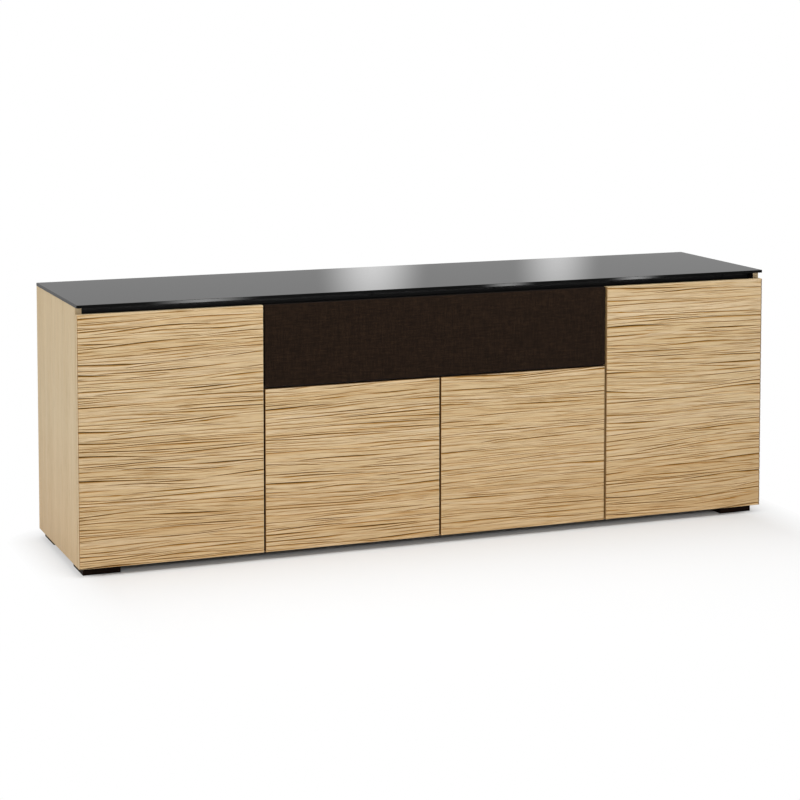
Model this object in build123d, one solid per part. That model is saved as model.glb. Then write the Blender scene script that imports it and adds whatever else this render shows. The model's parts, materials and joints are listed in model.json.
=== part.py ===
"""Long low media cabinet: four relief doors, a cloth speaker panel and a dark glass top.

Frame: origin on the floor under the middle of the cabinet, +X to the right of somebody
facing the doors, +Y from the doors to the back, +Z up. Sizes are in millimetres.
"""
from build123d import *
import os
from math import hypot

os.makedirs("parts", exist_ok=True)

# ---- driving dimensions -------------------------------------------------------------
WIDTH = 2110.0            # over the side panels
DEPTH = 509.0             # door fronts to the back edge
HEIGHT = 746.0            # floor to the top of the glass
PANEL = 18.0              # board of the case and the shelves
DOOR_THICK = 22.0
DOOR_STANDOFF = 1.5       # bumper gap between a door's back and the case
DOOR_GAP = 5.0            # joint between neighbouring fronts
GLASS_THICK = 8.0
GLASS_OVERHANG = 1.0      # beyond each side panel
PAD_THICK = 1.0           # clear pads under the glass
GRIP_GAP = 17.5           # joint between the tall doors and the top of the case
FOOT_CLEAR = 24.5         # floor to the lower edge of doors and side panels
DOOR_OVERHANG = 12.0      # doors hang this far below the case's floor, as a finger grip
GRILLE_HEIGHT = 230.0
EDGE_ROUND = 0.8

# ---- levels and planes --------------------------------------------------------------
FRONT = -DEPTH / 2
BACK = DEPTH / 2
CASE_FRONT = FRONT + DOOR_THICK + DOOR_STANDOFF
INNER_BACK = BACK - 7.0                       # rear edge of the boards between the sides
BACK_BOARD = 6.0
SIDE_X = WIDTH / 2
INNER_X = SIDE_X - PANEL
CASE_TOP = HEIGHT - GLASS_THICK - PAD_THICK
TOP_UNDER = CASE_TOP - PANEL
FLOOR_UNDER = FOOT_CLEAR + DOOR_OVERHANG
FLOOR_TOP = FLOOR_UNDER + PANEL
DOOR_TOP = CASE_TOP - GRIP_GAP
GRILLE_BOTTOM = DOOR_TOP - GRILLE_HEIGHT
LOW_DOOR_TOP = GRILLE_BOTTOM - DOOR_GAP
DECK_TOP = GRILLE_BOTTOM + 6.5                # shelf that carries the speaker
DECK_UNDER = DECK_TOP - PANEL

# ---- widths -------------------------------------------------------------------------
DOOR_WIDTH = (WIDTH - 3 * DOOR_GAP) / 4
PARTITION_X = (DOOR_WIDTH + DOOR_GAP)         # centre of each outer partition
GRILLE_WIDTH = 2 * DOOR_WIDTH + DOOR_GAP
BAY_EDGE_OUT = PARTITION_X + PANEL / 2        # outer face of a partition
BAY_EDGE_IN = PARTITION_X - PANEL / 2         # inner face of a partition

# ---- finger rail --------------------------------------------------------------------
RAIL_DEPTH = 27.5
RAIL_WALL = 1.5
RAIL_DROP = 39.0                              # below the underside of the top board
RAIL_LIP = 8.0
RAIL_BOTTOM = TOP_UNDER - RAIL_DROP
RAIL_BACK = CASE_FRONT + RAIL_DEPTH

# ---- cable ways ---------------------------------------------------------------------
SLOT_LOW = 45.0                               # open strip under each back board
SLOT_HIGH = 40.0                              # open strip above each back board
NOTCH_DEPTH = 50.0
NOTCH_HEIGHT = 60.0

# ---- feet ---------------------------------------------------------------------------
FOOT_WIDTH = 105.0
FOOT_DEPTH = 115.5
FOOT_INSET_SIDE = 15.5
FOOT_INSET_FRONT = 28.0
FOOT_INSET_BACK = 3.0
GLIDE_RADIUS = 20.0
GLIDE_PROUD = 1.0
GLIDE_THICK = 4.0
FOOT_SCREW_PITCH = 76.0
FOOT_SCREW_RADIUS = 3.0
FOOT_SCREW_SEAT = 14.0                        # height of the seat of a foot's screw head

# ---- concealed hinge, seen from above: (u from the door's hinged edge, v behind its face)
CUP_CENTRE = 22.5
CUP_RADIUS = 17.45
CUP_BORE = 17.5
CUP_DEPTH = 11.5
CUP_WALL = 1.0
CUP_RIM = (1.5, 0.8)                          # reach beyond the cup, thickness
CUP_FLANGE_U = (25.0, 39.0)
CUP_FLANGE_HALF = 28.0
CUP_FLANGE_THICK = 1.2
OUTER_ARM_PIVOT = (37.5, 49.5)
OUTER_CUP_PIVOT = (10.0, 20.2)
INNER_ARM_PIVOT = (31.7, 23.4)
INNER_CUP_PIVOT = (14.0, 16.4)
OUTER_BOW = 8.5                               # how far the link bows off its pivot line
INNER_BOW = 5.9
LINK_HALF_THICK = 1.2
OUTER_HALF_WIDTH = 2.6
INNER_BAND = (4.9, 6.9)                       # the inner link is a pair of strips
CHEEK_BAND = (7.2, 8.7)
CUP_LUG_BAND = (2.9, 4.4)
CUP_EAR_BAND = (7.2, 8.8)
PIVOT_PIN = 1.25
ARM_PIN = 1.5
INNER_PIN = 1.0
RUN_FIT = 0.05
OPEN_FIT = 1.45                               # slack at the linkage's open pivot
EYE_WALL = 1.0
PLATE_THICK = 3.0
PLATE_V = (54.5, 102.0)
PLATE_HALF = 6.6
WING_END_V = 66.5
WING_HALF = 23.0
RISER_START_V = 74.0
ARM_RISE = 20.5                               # panel face to the inside of the arm's web
ARM_WEB = 1.5
ARM_END = 104.0
CLAMP_V = 84.0                                # screw that clamps the arm to its plate
CLAMP_RADIUS = 2.0
CLAMP_LENGTH = 12.0
PLATE_SCREW_V = 60.5
PLATE_SCREW_W = 16.0
PLATE_SCREW_RADIUS = 2.4
CUP_SCREW_U = 32.0
CUP_SCREW_W = 22.5
CUP_SCREW_RADIUS = 1.8
SCREW_BITE = 12.0                             # length of a hinge screw in the wood
HINGE_FROM_BOTTOM = 95.0
HINGE_FROM_TOP = 105.0

# ---- shelves ------------------------------------------------------------------------
SHELF_PLAY = 1.0
SHELF_SET_BACK = 14.0
SHELF_REAR_GAP = 40.0
PIN_RADIUS = 2.5
PIN_PITCH = 32.0
PIN_IN = 9.0
PIN_OUT = 8.0
PIN_COLLAR = 0.8                              # thickness, thinner than the shelf's play
PIN_COLUMNS = (CASE_FRONT + 70.0, INNER_BACK - 90.0)
TALL_SHELVES = (262.0, 470.0)
LOW_SHELVES = (262.0,)

# ---- joinery ------------------------------------------------------------------------
DOWEL_RADIUS = 4.0
CAM_RADIUS = 7.5
CAM_DEPTH = 12.5
CAM_REACH = 34.0
CAM_BOLT_RADIUS = 3.0


def block(x0, x1, y0, y1, z0, z1):
    """A box between two corners."""
    size = Box(abs(x1 - x0), abs(y1 - y0), abs(z1 - z0))
    return Pos((x0 + x1) / 2, (y0 + y1) / 2, (z0 + z1) / 2) * size


def rod(axis, centre, radius, start, end):
    """A cylinder along X, Y or Z from start to end; centre gives the other two places."""
    body = Cylinder(radius, abs(end - start))
    middle = (start + end) / 2
    if axis == "X":
        return Pos(middle, *centre) * Rot(0, 90, 0) * body
    if axis == "Y":
        return Pos(centre[0], middle, centre[1]) * Rot(90, 0, 0) * body
    return Pos(*centre, middle) * body


def slab_yz(points, x0, x1):
    """An outline of (y, z) points, solid from x0 to x1."""
    outline = make_face(Polyline(*points, close=True))
    face = Plane.YZ * outline
    return Pos(x0, 0, 0) * extrude(face, amount=x1 - x0, dir=(1, 0, 0))


def slab_uv(sketch, w0, w1):
    """A plan outline, solid between the heights w0 and w1."""
    return Pos(0, 0, w0) * extrude(sketch, amount=w1 - w0, dir=(0, 0, 1))


def fuse(pieces):
    """One solid from pieces that meet."""
    whole = pieces[0]
    for piece in pieces[1:]:
        whole += piece
    return whole


# ---- hinges -------------------------------------------------------------------------
def bowed_bar(start, end, bow, half):
    """A strip along an arc from start to end that bows to the right of that line."""
    run = hypot(end[0] - start[0], end[1] - start[1])
    ahead = ((end[0] - start[0]) / run, (end[1] - start[1]) / run)
    right = (ahead[1], -ahead[0])
    radius = (run * run / 4 + bow * bow) / (2 * bow)
    middle = ((start[0] + end[0]) / 2, (start[1] + end[1]) / 2)
    centre = (middle[0] + right[0] * (bow - radius), middle[1] + right[1] * (bow - radius))
    crown = (middle[0] + right[0] * bow, middle[1] + right[1] * bow)

    def shifted(point, off):
        scale = (radius + off) / radius
        return (centre[0] + (point[0] - centre[0]) * scale,
                centre[1] + (point[1] - centre[1]) * scale)

    outer = [shifted(p, half) for p in (start, crown, end)]
    inner = [shifted(p, -half) for p in (end, crown, start)]
    edges = [ThreePointArc(*outer), Line(outer[2], inner[0]),
             ThreePointArc(*inner), Line(inner[2], outer[0])]
    return make_face(edges)


def disc(at, radius):
    return Pos(at[0], at[1]) * Circle(radius)


def band_pair(sketch, band):
    """The outline as two strips, one above and one below the hinge's middle."""
    return [slab_uv(sketch, band[0], band[1]), slab_uv(sketch, -band[1], -band[0])]


def hinge_cup():
    centre = (CUP_CENTRE, 0)
    floor = DOOR_THICK - CUP_DEPTH
    shell = rod("Y", centre, CUP_RADIUS, floor, DOOR_THICK)
    rim = rod("Y", centre, CUP_RADIUS + CUP_RIM[0], DOOR_THICK, DOOR_THICK + CUP_RIM[1])
    flange = block(*CUP_FLANGE_U, DOOR_THICK, DOOR_THICK + CUP_FLANGE_THICK,
                   -CUP_FLANGE_HALF, CUP_FLANGE_HALF)
    hollow = rod("Y", centre, CUP_RADIUS - CUP_WALL, floor + CUP_WALL, DOOR_THICK + 2)
    screw_holes = [rod("Y", (CUP_SCREW_U, side * CUP_SCREW_W), CUP_SCREW_RADIUS + 0.1,
                       DOOR_THICK - 1, DOOR_THICK + 2) for side in (-1, 1)]
    cup = shell + rim + flange - hollow - fuse(screw_holes)
    rise = floor + 0.9 * CUP_WALL
    lug_at, ear_at = OUTER_CUP_PIVOT, INNER_CUP_PIVOT
    lug = make_face(Polyline((7.7, rise), (12.3, rise), (12.3, lug_at[1]), (7.7, lug_at[1]),
                             close=True)) + disc(lug_at, 2.3)
    ear = make_face(Polyline((11.9, rise), (16.1, rise), (16.1, ear_at[1]), (11.9, ear_at[1]),
                             close=True)) + disc(ear_at, 2.1)
    lug -= disc(lug_at, PIVOT_PIN)
    ear -= disc(ear_at, INNER_PIN)
    return fuse([cup] + band_pair(lug, CUP_LUG_BAND) + band_pair(ear, CUP_EAR_BAND))


def hinge_cup_pins():
    through = slab_uv(disc(OUTER_CUP_PIVOT, PIVOT_PIN), -CUP_LUG_BAND[1], CUP_LUG_BAND[1])
    return [through] + band_pair(disc(INNER_CUP_PIVOT, INNER_PIN),
                                 (INNER_BAND[0], CUP_EAR_BAND[1]))


def hinge_outer_link():
    plan = bowed_bar(OUTER_CUP_PIVOT, OUTER_ARM_PIVOT, OUTER_BOW, LINK_HALF_THICK)
    plan += disc(OUTER_CUP_PIVOT, 2.6) + disc(OUTER_ARM_PIVOT, 3.2)
    plan -= disc(OUTER_CUP_PIVOT, PIVOT_PIN + RUN_FIT)
    plan -= disc(OUTER_ARM_PIVOT, ARM_PIN + RUN_FIT)
    return [slab_uv(plan, -OUTER_HALF_WIDTH, OUTER_HALF_WIDTH)]


def hinge_inner_link():
    plan = bowed_bar(INNER_CUP_PIVOT, INNER_ARM_PIVOT, INNER_BOW, LINK_HALF_THICK)
    plan += disc(INNER_CUP_PIVOT, INNER_PIN + OPEN_FIT + EYE_WALL) + disc(INNER_ARM_PIVOT, 2.5)
    plan -= disc(INNER_CUP_PIVOT, INNER_PIN + OPEN_FIT)
    plan -= disc(INNER_ARM_PIVOT, PIVOT_PIN + RUN_FIT)
    return band_pair(plan, INNER_BAND)


def hinge_arm(face_u):
    """The cranked channel that carries both links; face_u is the panel's face."""
    rear_u = face_u + ARM_RISE
    crank = [(45.0, 44.0), (45.0, 56.0), (rear_u, 72.0), (rear_u, ARM_END)]
    outside = [(u + ARM_WEB, v) for u, v in crank]
    web = make_face(Polyline(*crank, *reversed(outside), close=True))
    cheek = make_face(Polyline((34.2, 22.8), *outside, (face_u + 3.6, ARM_END),
                               (face_u + 3.6, 68.0), (33.0, 52.0), (29.2, 24.0), close=True))
    cheek += disc(INNER_ARM_PIVOT, 2.6)
    cheek -= disc(INNER_ARM_PIVOT, PIVOT_PIN) + disc(OUTER_ARM_PIVOT, ARM_PIN)
    arm = fuse([slab_uv(web, -CHEEK_BAND[1], CHEEK_BAND[1])] + band_pair(cheek, CHEEK_BAND))
    return arm - rod("X", (CLAMP_V, 0), CLAMP_RADIUS + 0.1, rear_u - 1, rear_u + ARM_WEB + 1)


def hinge_arm_pins():
    through = slab_uv(disc(OUTER_ARM_PIVOT, ARM_PIN), -CHEEK_BAND[1], CHEEK_BAND[1])
    return [through] + band_pair(disc(INNER_ARM_PIVOT, PIVOT_PIN),
                                 (INNER_BAND[0], CHEEK_BAND[1]))


def hinge_plate(face_u):
    seat, top = face_u + PLATE_THICK, face_u + ARM_RISE
    base = block(face_u, seat, *PLATE_V, -PLATE_HALF, PLATE_HALF)
    wings = block(face_u, seat, PLATE_V[0], WING_END_V, -WING_HALF, WING_HALF)
    riser = block(seat, top, RISER_START_V, PLATE_V[1], -PLATE_HALF, PLATE_HALF)
    plate = base + wings + riser
    for side in (-1, 1):
        plate -= rod("X", (PLATE_SCREW_V, side * PLATE_SCREW_W), PLATE_SCREW_RADIUS + 0.1,
                     face_u - 1, seat + 1)
    return plate - rod("X", (CLAMP_V, 0), CLAMP_RADIUS, face_u + 8, top + 1)


def hinge_case_screws(face_u):
    """Two wood screws through the plate and the machine screw that clamps the arm."""
    screws = []
    seat, top = face_u + PLATE_THICK, face_u + ARM_RISE + ARM_WEB
    for side in (-1, 1):
        centre = (PLATE_SCREW_V, side * PLATE_SCREW_W)
        screws.append(rod("X", centre, 4.0, seat, seat + 1.8)
                      + rod("X", centre, PLATE_SCREW_RADIUS, face_u - SCREW_BITE, seat))
    screws.append(rod("X", (CLAMP_V, 0), 3.8, top, top + 2)
                  + rod("X", (CLAMP_V, 0), CLAMP_RADIUS, top - CLAMP_LENGTH, top))
    return screws


def hinge_cup_screws():
    screws = []
    for side in (-1, 1):
        centre = (CUP_SCREW_U, side * CUP_SCREW_W)
        seat = DOOR_THICK + CUP_FLANGE_THICK
        screws.append(rod("Y", centre, 3.3, seat, seat + 1.4)
                      + rod("Y", centre, CUP_SCREW_RADIUS, DOOR_THICK - SCREW_BITE, seat))
    return screws


# ---- fronts -------------------------------------------------------------------------
# name: (hinged edge x, direction from that edge into the door, top, panel face from edge)
DOORS = {
    "door_left": (-SIDE_X, 1, DOOR_TOP, PANEL),
    "door_centre_left": (-GRILLE_WIDTH / 2, 1, LOW_DOOR_TOP, GRILLE_WIDTH / 2 - BAY_EDGE_IN),
    "door_centre_right": (GRILLE_WIDTH / 2, -1, LOW_DOOR_TOP, GRILLE_WIDTH / 2 - BAY_EDGE_IN),
    "door_right": (SIDE_X, -1, DOOR_TOP, PANEL),
}


def hinge_levels(top):
    return (FOOT_CLEAR + HINGE_FROM_BOTTOM, top - HINGE_FROM_TOP)


def placed(piece, door, level):
    """A hinge piece moved from the hinge's own frame to its door and height."""
    edge, way = DOORS[door][:2]
    if way < 0:
        piece = mirror(piece, about=Plane.YZ)
    return Pos(edge, FRONT, level) * piece


def at_hinges(door, pieces):
    """Copies of a hinge's pieces at each of a door's hinges."""
    return [placed(piece, door, level) for level in hinge_levels(DOORS[door][2])
            for piece in pieces]


def front_panel(door):
    edge, way, top = DOORS[door][:3]
    slab = block(edge, edge + way * DOOR_WIDTH, FRONT, FRONT + DOOR_THICK, FOOT_CLEAR, top)
    slab = fillet(slab.edges(), EDGE_ROUND)
    bores = [rod("Y", (CUP_CENTRE, 0), CUP_BORE, DOOR_THICK - CUP_DEPTH, DOOR_THICK + 1)]
    for side in (-1, 1):
        bores.append(rod("Y", (CUP_SCREW_U, side * CUP_SCREW_W), CUP_SCREW_RADIUS,
                         DOOR_THICK - SCREW_BITE, DOOR_THICK + 1))
    for cut in at_hinges(door, bores):
        slab -= cut
    return [slab]


# ---- speaker panel ------------------------------------------------------------------
CLOTH = 1.0
FRAME_BAR = 34.0
FRAME_THICK = 19.0
FRAME_BACK = FRONT + CLOTH + FRAME_THICK
STUD_RADIUS = 3.0
STUD_REACH = 14.0
STUD_X = BAY_EDGE_IN - 11.0
STUD_LEVELS = (GRILLE_BOTTOM + 40.0, RAIL_BOTTOM - 22.0)
STUD_ROOT = 10.0                              # length of a stud inside the frame
CLEAT = 22.0
SOCKET_RADIUS = 6.0
SOCKET_DEPTH = 16.0


def grille_cloth():
    half = GRILLE_WIDTH / 2
    tray = block(-half, half, FRONT, FRAME_BACK, GRILLE_BOTTOM, DOOR_TOP)
    tray = fillet(tray.edges().filter_by(Axis.Y), 3.0)
    tray = fillet(tray.faces().sort_by(Axis.Y)[0].edges(), 2.0)
    inside = block(-half + CLOTH, half - CLOTH, FRONT + CLOTH, FRAME_BACK + 1,
                   GRILLE_BOTTOM + CLOTH, DOOR_TOP - CLOTH)
    return [tray - fillet(inside.edges().filter_by(Axis.Y), 2.0)]


def grille_frame():
    half = GRILLE_WIDTH / 2 - CLOTH
    low, high = GRILLE_BOTTOM + CLOTH, DOOR_TOP - CLOTH
    board = block(-half, half, FRONT + CLOTH, FRAME_BACK, low, high)
    board = fillet(board.edges().filter_by(Axis.Y), 2.0)
    for x0, x1 in grille_windows():
        window = block(x0, x1, FRONT, FRAME_BACK + 1, low + FRAME_BAR, high - FRAME_BAR)
        board -= fillet(window.edges().filter_by(Axis.Y), 12.0)
    for x in (-STUD_X, STUD_X):
        for level in STUD_LEVELS:
            board -= rod("Y", (x, level), STUD_RADIUS, FRAME_BACK - STUD_ROOT, FRAME_BACK + 1)
    return [board]


def grille_windows():
    """Clear widths between the frame's bars."""
    half = GRILLE_WIDTH / 2 - CLOTH
    span = (2 * half - 4 * FRAME_BAR) / 3
    starts = [-half + FRAME_BAR + n * (span + FRAME_BAR) for n in range(3)]
    return [(start, start + span) for start in starts]


def grille_studs():
    studs = []
    for x in (-STUD_X, STUD_X):
        for level in STUD_LEVELS:
            stud = rod("Y", (x, level), STUD_RADIUS, FRAME_BACK - STUD_ROOT,
                       CASE_FRONT + STUD_REACH)
            collar = rod("Y", (x, level), 6.5, FRAME_BACK, FRAME_BACK + 1.6)
            studs.append(chamfer((stud + collar).edges().sort_by(Axis.Y)[-1], 0.8))
    return studs


def grille_cleats():
    cleats = []
    for way in (-1, 1):
        cleat = block(way * BAY_EDGE_IN, way * (BAY_EDGE_IN - CLEAT), CASE_FRONT,
                      CASE_FRONT + CLEAT, DECK_TOP, RAIL_BOTTOM)
        for level in STUD_LEVELS:
            cleat -= rod("Y", (way * STUD_X, level), SOCKET_RADIUS, CASE_FRONT - 1,
                         CASE_FRONT + SOCKET_DEPTH)
        cleats.append(cleat)
    return cleats


def grille_sockets():
    sockets = []
    for x in (-STUD_X, STUD_X):
        for level in STUD_LEVELS:
            body = rod("Y", (x, level), SOCKET_RADIUS, CASE_FRONT, CASE_FRONT + SOCKET_DEPTH)
            sockets.append(body - rod("Y", (x, level), STUD_RADIUS + RUN_FIT,
                                      CASE_FRONT - 1, CASE_FRONT + SOCKET_DEPTH - 1))
    return sockets


# ---- case ---------------------------------------------------------------------------
def shelf_pin_points():
    """(panel face x, way the pin stands out, y, shelf underside) for each shelf pin."""
    points = []
    faces = {-1: ((-INNER_X, 1), (-BAY_EDGE_OUT, -1)), 1: ((BAY_EDGE_OUT, 1), (INNER_X, -1))}
    middle = {-1: ((-BAY_EDGE_IN, 1), (-PANEL / 2, -1)), 1: ((PANEL / 2, 1), (BAY_EDGE_IN, -1))}
    for group, levels in ((faces, TALL_SHELVES), (middle, LOW_SHELVES)):
        for pair in group.values():
            for face, way in pair:
                points += [(face, way, y, level) for y in PIN_COLUMNS for level in levels]
    return points


def shelf_pins():
    pins = []
    for face, way, y, level in shelf_pin_points():
        axis_z = level - PIN_RADIUS
        stem = rod("X", (y, axis_z), PIN_RADIUS, face - way * PIN_IN, face + way * PIN_OUT)
        collar = rod("X", (y, axis_z), PIN_RADIUS + 1.0, face, face + way * PIN_COLLAR)
        pins.append(stem + collar)
    return pins


def drilled_for_pins(board, face, way):
    """Three pin holes around each shelf level, so that the shelves adjust."""
    for point_face, point_way, y, level in shelf_pin_points():
        if abs(point_face - face) < 1 and point_way == way:
            for step in (-1, 0, 1):
                centre = (y, level - PIN_RADIUS + step * PIN_PITCH)
                board -= rod("X", centre, PIN_RADIUS, face - way * PIN_IN, face + way)
    return board


def drilled_for_hinges(board, door):
    for level in hinge_levels(DOORS[door][2]):
        for side in (-1, 1):
            face = DOORS[door][3]
            hole = rod("X", (PLATE_SCREW_V, side * PLATE_SCREW_W), PLATE_SCREW_RADIUS,
                       face - SCREW_BITE, face + 1)
            board -= placed(hole, door, level)
    return board


JOINT_YS = (CASE_FRONT + 60.0, INNER_BACK - 60.0)


def case_joints():
    """(face x, way into the cross board, y, mid height, cam side) of each corner joint."""
    joints = []
    for way in (-1, 1):
        for mid, cam in (((FLOOR_UNDER + FLOOR_TOP) / 2, -1), ((TOP_UNDER + CASE_TOP) / 2, 1)):
            joints += [(way * INNER_X, -way, y, mid, cam) for y in JOINT_YS]
    return joints


def dowel_rods():
    rods = []
    for face, way, y, mid, _ in case_joints():
        inner = y + 32.0 if y < 0 else y - 32.0
        rods.append(rod("X", (inner, mid), DOWEL_RADIUS, face - way * (PANEL - 6),
                        face + way * 20))
    for way in (-1, 1):
        for x, z in ((way * PARTITION_X, FLOOR_TOP), (way * PARTITION_X, TOP_UNDER),
                     (0.0, FLOOR_TOP), (0.0, DECK_UNDER)):
            rods.append(rod("Z", (x, way * 120.0), DOWEL_RADIUS, z - 10, z + 10))
        for y in (-120.0, 120.0):
            rods.append(rod("X", (y, DECK_TOP - PANEL / 2), DOWEL_RADIUS,
                            way * (BAY_EDGE_IN + 10), way * (BAY_EDGE_IN - 20)))
    return rods


def cam_bolts():
    return [rod("X", (y, mid), CAM_BOLT_RADIUS, face - way * (PANEL - 6),
                face + way * (CAM_REACH - 4)) for face, way, y, mid, cam in case_joints()]


def cam_housings():
    housings = []
    for face, way, y, mid, cam in case_joints():
        outer = mid + cam * PANEL / 2
        drum = rod("Z", (face + way * CAM_REACH, y), CAM_RADIUS, outer, outer - cam * CAM_DEPTH)
        slot = block(face + way * (CAM_REACH - 5), face + way * (CAM_REACH + 5), y - 1, y + 1,
                     outer, outer - cam * 2)
        bolt = rod("X", (y, mid), CAM_BOLT_RADIUS, face, face + way * (CAM_REACH - 4))
        housings.append(drum - slot - bolt)
    return housings


def drilled_for_joinery(board):
    """The board less the dowels, cam bolts and cam drums that reach into it."""
    box = board.bounding_box()
    cuts = dowel_rods() + cam_bolts()
    for face, way, y, mid, cam in case_joints():
        outer = mid + cam * PANEL / 2
        cuts.append(rod("Z", (face + way * CAM_REACH, y), CAM_RADIUS, outer + cam,
                        outer - cam * CAM_DEPTH))
    for cut in cuts:
        other = cut.bounding_box()
        apart = any(getattr(other.min, k) >= getattr(box.max, k) - 0.01
                    or getattr(other.max, k) <= getattr(box.min, k) + 0.01 for k in "XYZ")
        if not apart:
            board -= cut
    return board


def side_panel(way):
    board = block(way * SIDE_X, way * INNER_X, CASE_FRONT, BACK, FOOT_CLEAR, CASE_TOP)
    board = drilled_for_pins(board, way * INNER_X, -way)
    board = drilled_for_hinges(board, "door_left" if way < 0 else "door_right")
    return [drilled_for_joinery(board)]


def partition(way):
    outline = [(CASE_FRONT, FLOOR_TOP), (INNER_BACK - NOTCH_DEPTH, FLOOR_TOP),
               (INNER_BACK - NOTCH_DEPTH, FLOOR_TOP + NOTCH_HEIGHT),
               (INNER_BACK, FLOOR_TOP + NOTCH_HEIGHT), (INNER_BACK, TOP_UNDER),
               (RAIL_BACK, TOP_UNDER), (RAIL_BACK, RAIL_BOTTOM), (CASE_FRONT, RAIL_BOTTOM)]
    board = slab_yz(outline, way * PARTITION_X - PANEL / 2, way * PARTITION_X + PANEL / 2)
    board = drilled_for_pins(board, way * BAY_EDGE_OUT, way)
    board = drilled_for_pins(board, way * BAY_EDGE_IN, -way)
    board = drilled_for_hinges(board, "door_centre_left" if way < 0 else "door_centre_right")
    return [drilled_for_joinery(board)]


def partition_centre():
    outline = [(CASE_FRONT, FLOOR_TOP), (INNER_BACK - NOTCH_DEPTH, FLOOR_TOP),
               (INNER_BACK - NOTCH_DEPTH, FLOOR_TOP + NOTCH_HEIGHT),
               (INNER_BACK, FLOOR_TOP + NOTCH_HEIGHT), (INNER_BACK, DECK_UNDER),
               (CASE_FRONT, DECK_UNDER)]
    board = slab_yz(outline, -PANEL / 2, PANEL / 2)
    board = drilled_for_pins(board, -PANEL / 2, -1)
    board = drilled_for_pins(board, PANEL / 2, 1)
    return [drilled_for_joinery(board)]


def floor_board():
    board = block(-INNER_X, INNER_X, CASE_FRONT, INNER_BACK, FLOOR_UNDER, FLOOR_TOP)
    for x, y in foot_screw_points():
        board -= rod("Z", (x, y), FOOT_SCREW_RADIUS, FLOOR_UNDER - 1, FLOOR_UNDER + 12)
    return [drilled_for_joinery(board)]


def top_board():
    board = block(-INNER_X, INNER_X, RAIL_BACK, INNER_BACK, TOP_UNDER, CASE_TOP)
    for x in RAIL_SCREW_XS:
        board -= rod("Y", (x, RAIL_SCREW_Z), 1.8, RAIL_BACK - 1, RAIL_BACK + 16)
    return [drilled_for_joinery(board)]


def speaker_deck():
    board = block(-BAY_EDGE_IN, BAY_EDGE_IN, CASE_FRONT, INNER_BACK, DECK_UNDER, DECK_TOP)
    return [drilled_for_joinery(board)]


RAIL_SCREW_XS = [n * 380.0 - 950.0 for n in range(6)]
RAIL_SCREW_Z = CASE_TOP - PANEL / 2


def finger_rail():
    low = RAIL_BOTTOM
    outline = [(CASE_FRONT, low), (RAIL_BACK, low), (RAIL_BACK, CASE_TOP),
               (RAIL_BACK - RAIL_WALL, CASE_TOP), (RAIL_BACK - RAIL_WALL, low + RAIL_WALL),
               (CASE_FRONT + RAIL_WALL, low + RAIL_WALL), (CASE_FRONT + RAIL_WALL, low + RAIL_LIP),
               (CASE_FRONT, low + RAIL_LIP)]
    rail = slab_yz(outline, -INNER_X, INNER_X)
    for x in RAIL_SCREW_XS:
        rail -= rod("Y", (x, RAIL_SCREW_Z), 1.8, RAIL_BACK - 3, RAIL_BACK + 1)
    return [rail]


def rail_screws():
    seat = RAIL_BACK - RAIL_WALL
    return [rod("Y", (x, RAIL_SCREW_Z), 3.4, seat - 1.2, seat)
            + rod("Y", (x, RAIL_SCREW_Z), 1.8, seat, RAIL_BACK + 16) for x in RAIL_SCREW_XS]


def shelf(x0, x1, level):
    front, rear = CASE_FRONT + SHELF_SET_BACK, INNER_BACK - SHELF_REAR_GAP
    return [block(x0 + SHELF_PLAY, x1 - SHELF_PLAY, front, rear, level, level + PANEL)]


# ---- back boards --------------------------------------------------------------------
BACK_SCREW_INSET = 4.5
BACK_SCREW_RADIUS = 1.8
BACK_LOW = FLOOR_TOP + SLOT_LOW
BACK_HIGH = TOP_UNDER - SLOT_HIGH
BACKS = {
    "back_board_left": (-INNER_X + 1.0, -PARTITION_X - 0.5, BACK_LOW, BACK_HIGH),
    "back_board_right": (PARTITION_X + 0.5, INNER_X - 1.0, BACK_LOW, BACK_HIGH),
    "back_board_centre": (-PARTITION_X + 0.5, PARTITION_X - 0.5, BACK_LOW, DECK_UNDER - 8.0),
    "back_board_speaker": (-PARTITION_X + 0.5, PARTITION_X - 0.5, DECK_TOP + 30.0, BACK_HIGH),
}


def back_screw_points():
    """(board, x, z) of the screws along each back board's upright edges."""
    points = []
    for name, (x0, x1, z0, z1) in BACKS.items():
        for x in (x0 + BACK_SCREW_INSET, x1 - BACK_SCREW_INSET):
            points += [(name, x, z) for z in (z0 + 30.0, z1 - 30.0)]
    return points


def back_board(name):
    x0, x1, z0, z1 = BACKS[name]
    board = block(x0, x1, INNER_BACK, INNER_BACK + BACK_BOARD, z0, z1)
    for owner, x, z in back_screw_points():
        if owner == name:
            board -= rod("Y", (x, z), BACK_SCREW_RADIUS, INNER_BACK - 1, BACK)
    return [board]


def back_screws():
    seat = INNER_BACK + BACK_BOARD
    return [rod("Y", (x, z), 3.2, seat, seat + 0.9)
            + rod("Y", (x, z), BACK_SCREW_RADIUS, INNER_BACK - 14, seat)
            for name, x, z in back_screw_points()]


def drilled_for_back(board):
    """The board less the back screws that reach into its rear edge."""
    box = board.bounding_box()
    for name, x, z in back_screw_points():
        if box.min.X < x < box.max.X and box.min.Z < z < box.max.Z:
            board -= rod("Y", (x, z), BACK_SCREW_RADIUS, INNER_BACK - 14, INNER_BACK + 1)
    return board


def back_cleats():
    """Upright strips inside the side panels that take the outer back boards' screws."""
    cleats = []
    for way in (-1, 1):
        strip = block(way * INNER_X, way * (INNER_X - PANEL), INNER_BACK - PANEL, INNER_BACK,
                      BACK_LOW, BACK_HIGH)
        cleats.append(drilled_for_back(strip))
    return cleats


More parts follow.
